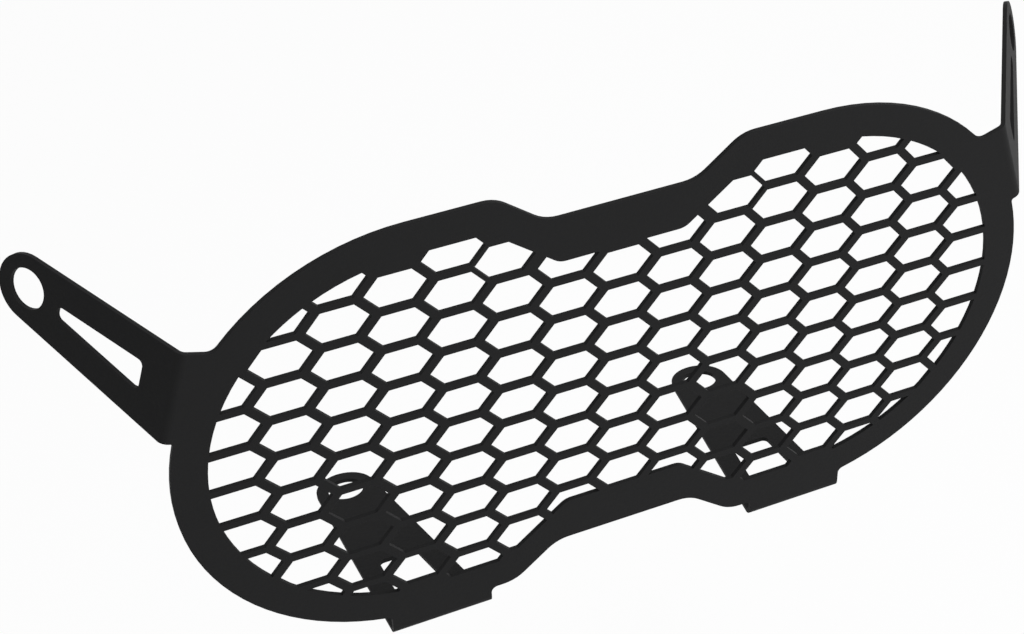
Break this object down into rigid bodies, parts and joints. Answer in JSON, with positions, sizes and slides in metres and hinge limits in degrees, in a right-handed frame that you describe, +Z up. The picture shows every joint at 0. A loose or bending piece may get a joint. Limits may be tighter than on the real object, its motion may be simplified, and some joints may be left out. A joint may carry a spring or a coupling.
{
  "type": "motorcycle headlight guard",
  "caption": "Headlight guard folded from one sheet: a waisted, rounded honeycomb grille with a solid rim, and ears bent back at its sides and lower edge that end in mounting holes.",
  "frame": {"origin": "middle of the grille's back face, which stands in front of the headlight", "axes": "+X to the guard's right seen from the front, +Y to the rear, towards the headlight, +Z up"},
  "size_m": [0.351, 0.0977, 0.1804],
  "materials": {
    "powder_coat": "satin black powder coat on steel sheet"
  },
  "bodies": {
    "root": {"headlight_guard": "powder_coat"}
  },
  "joints": []
}
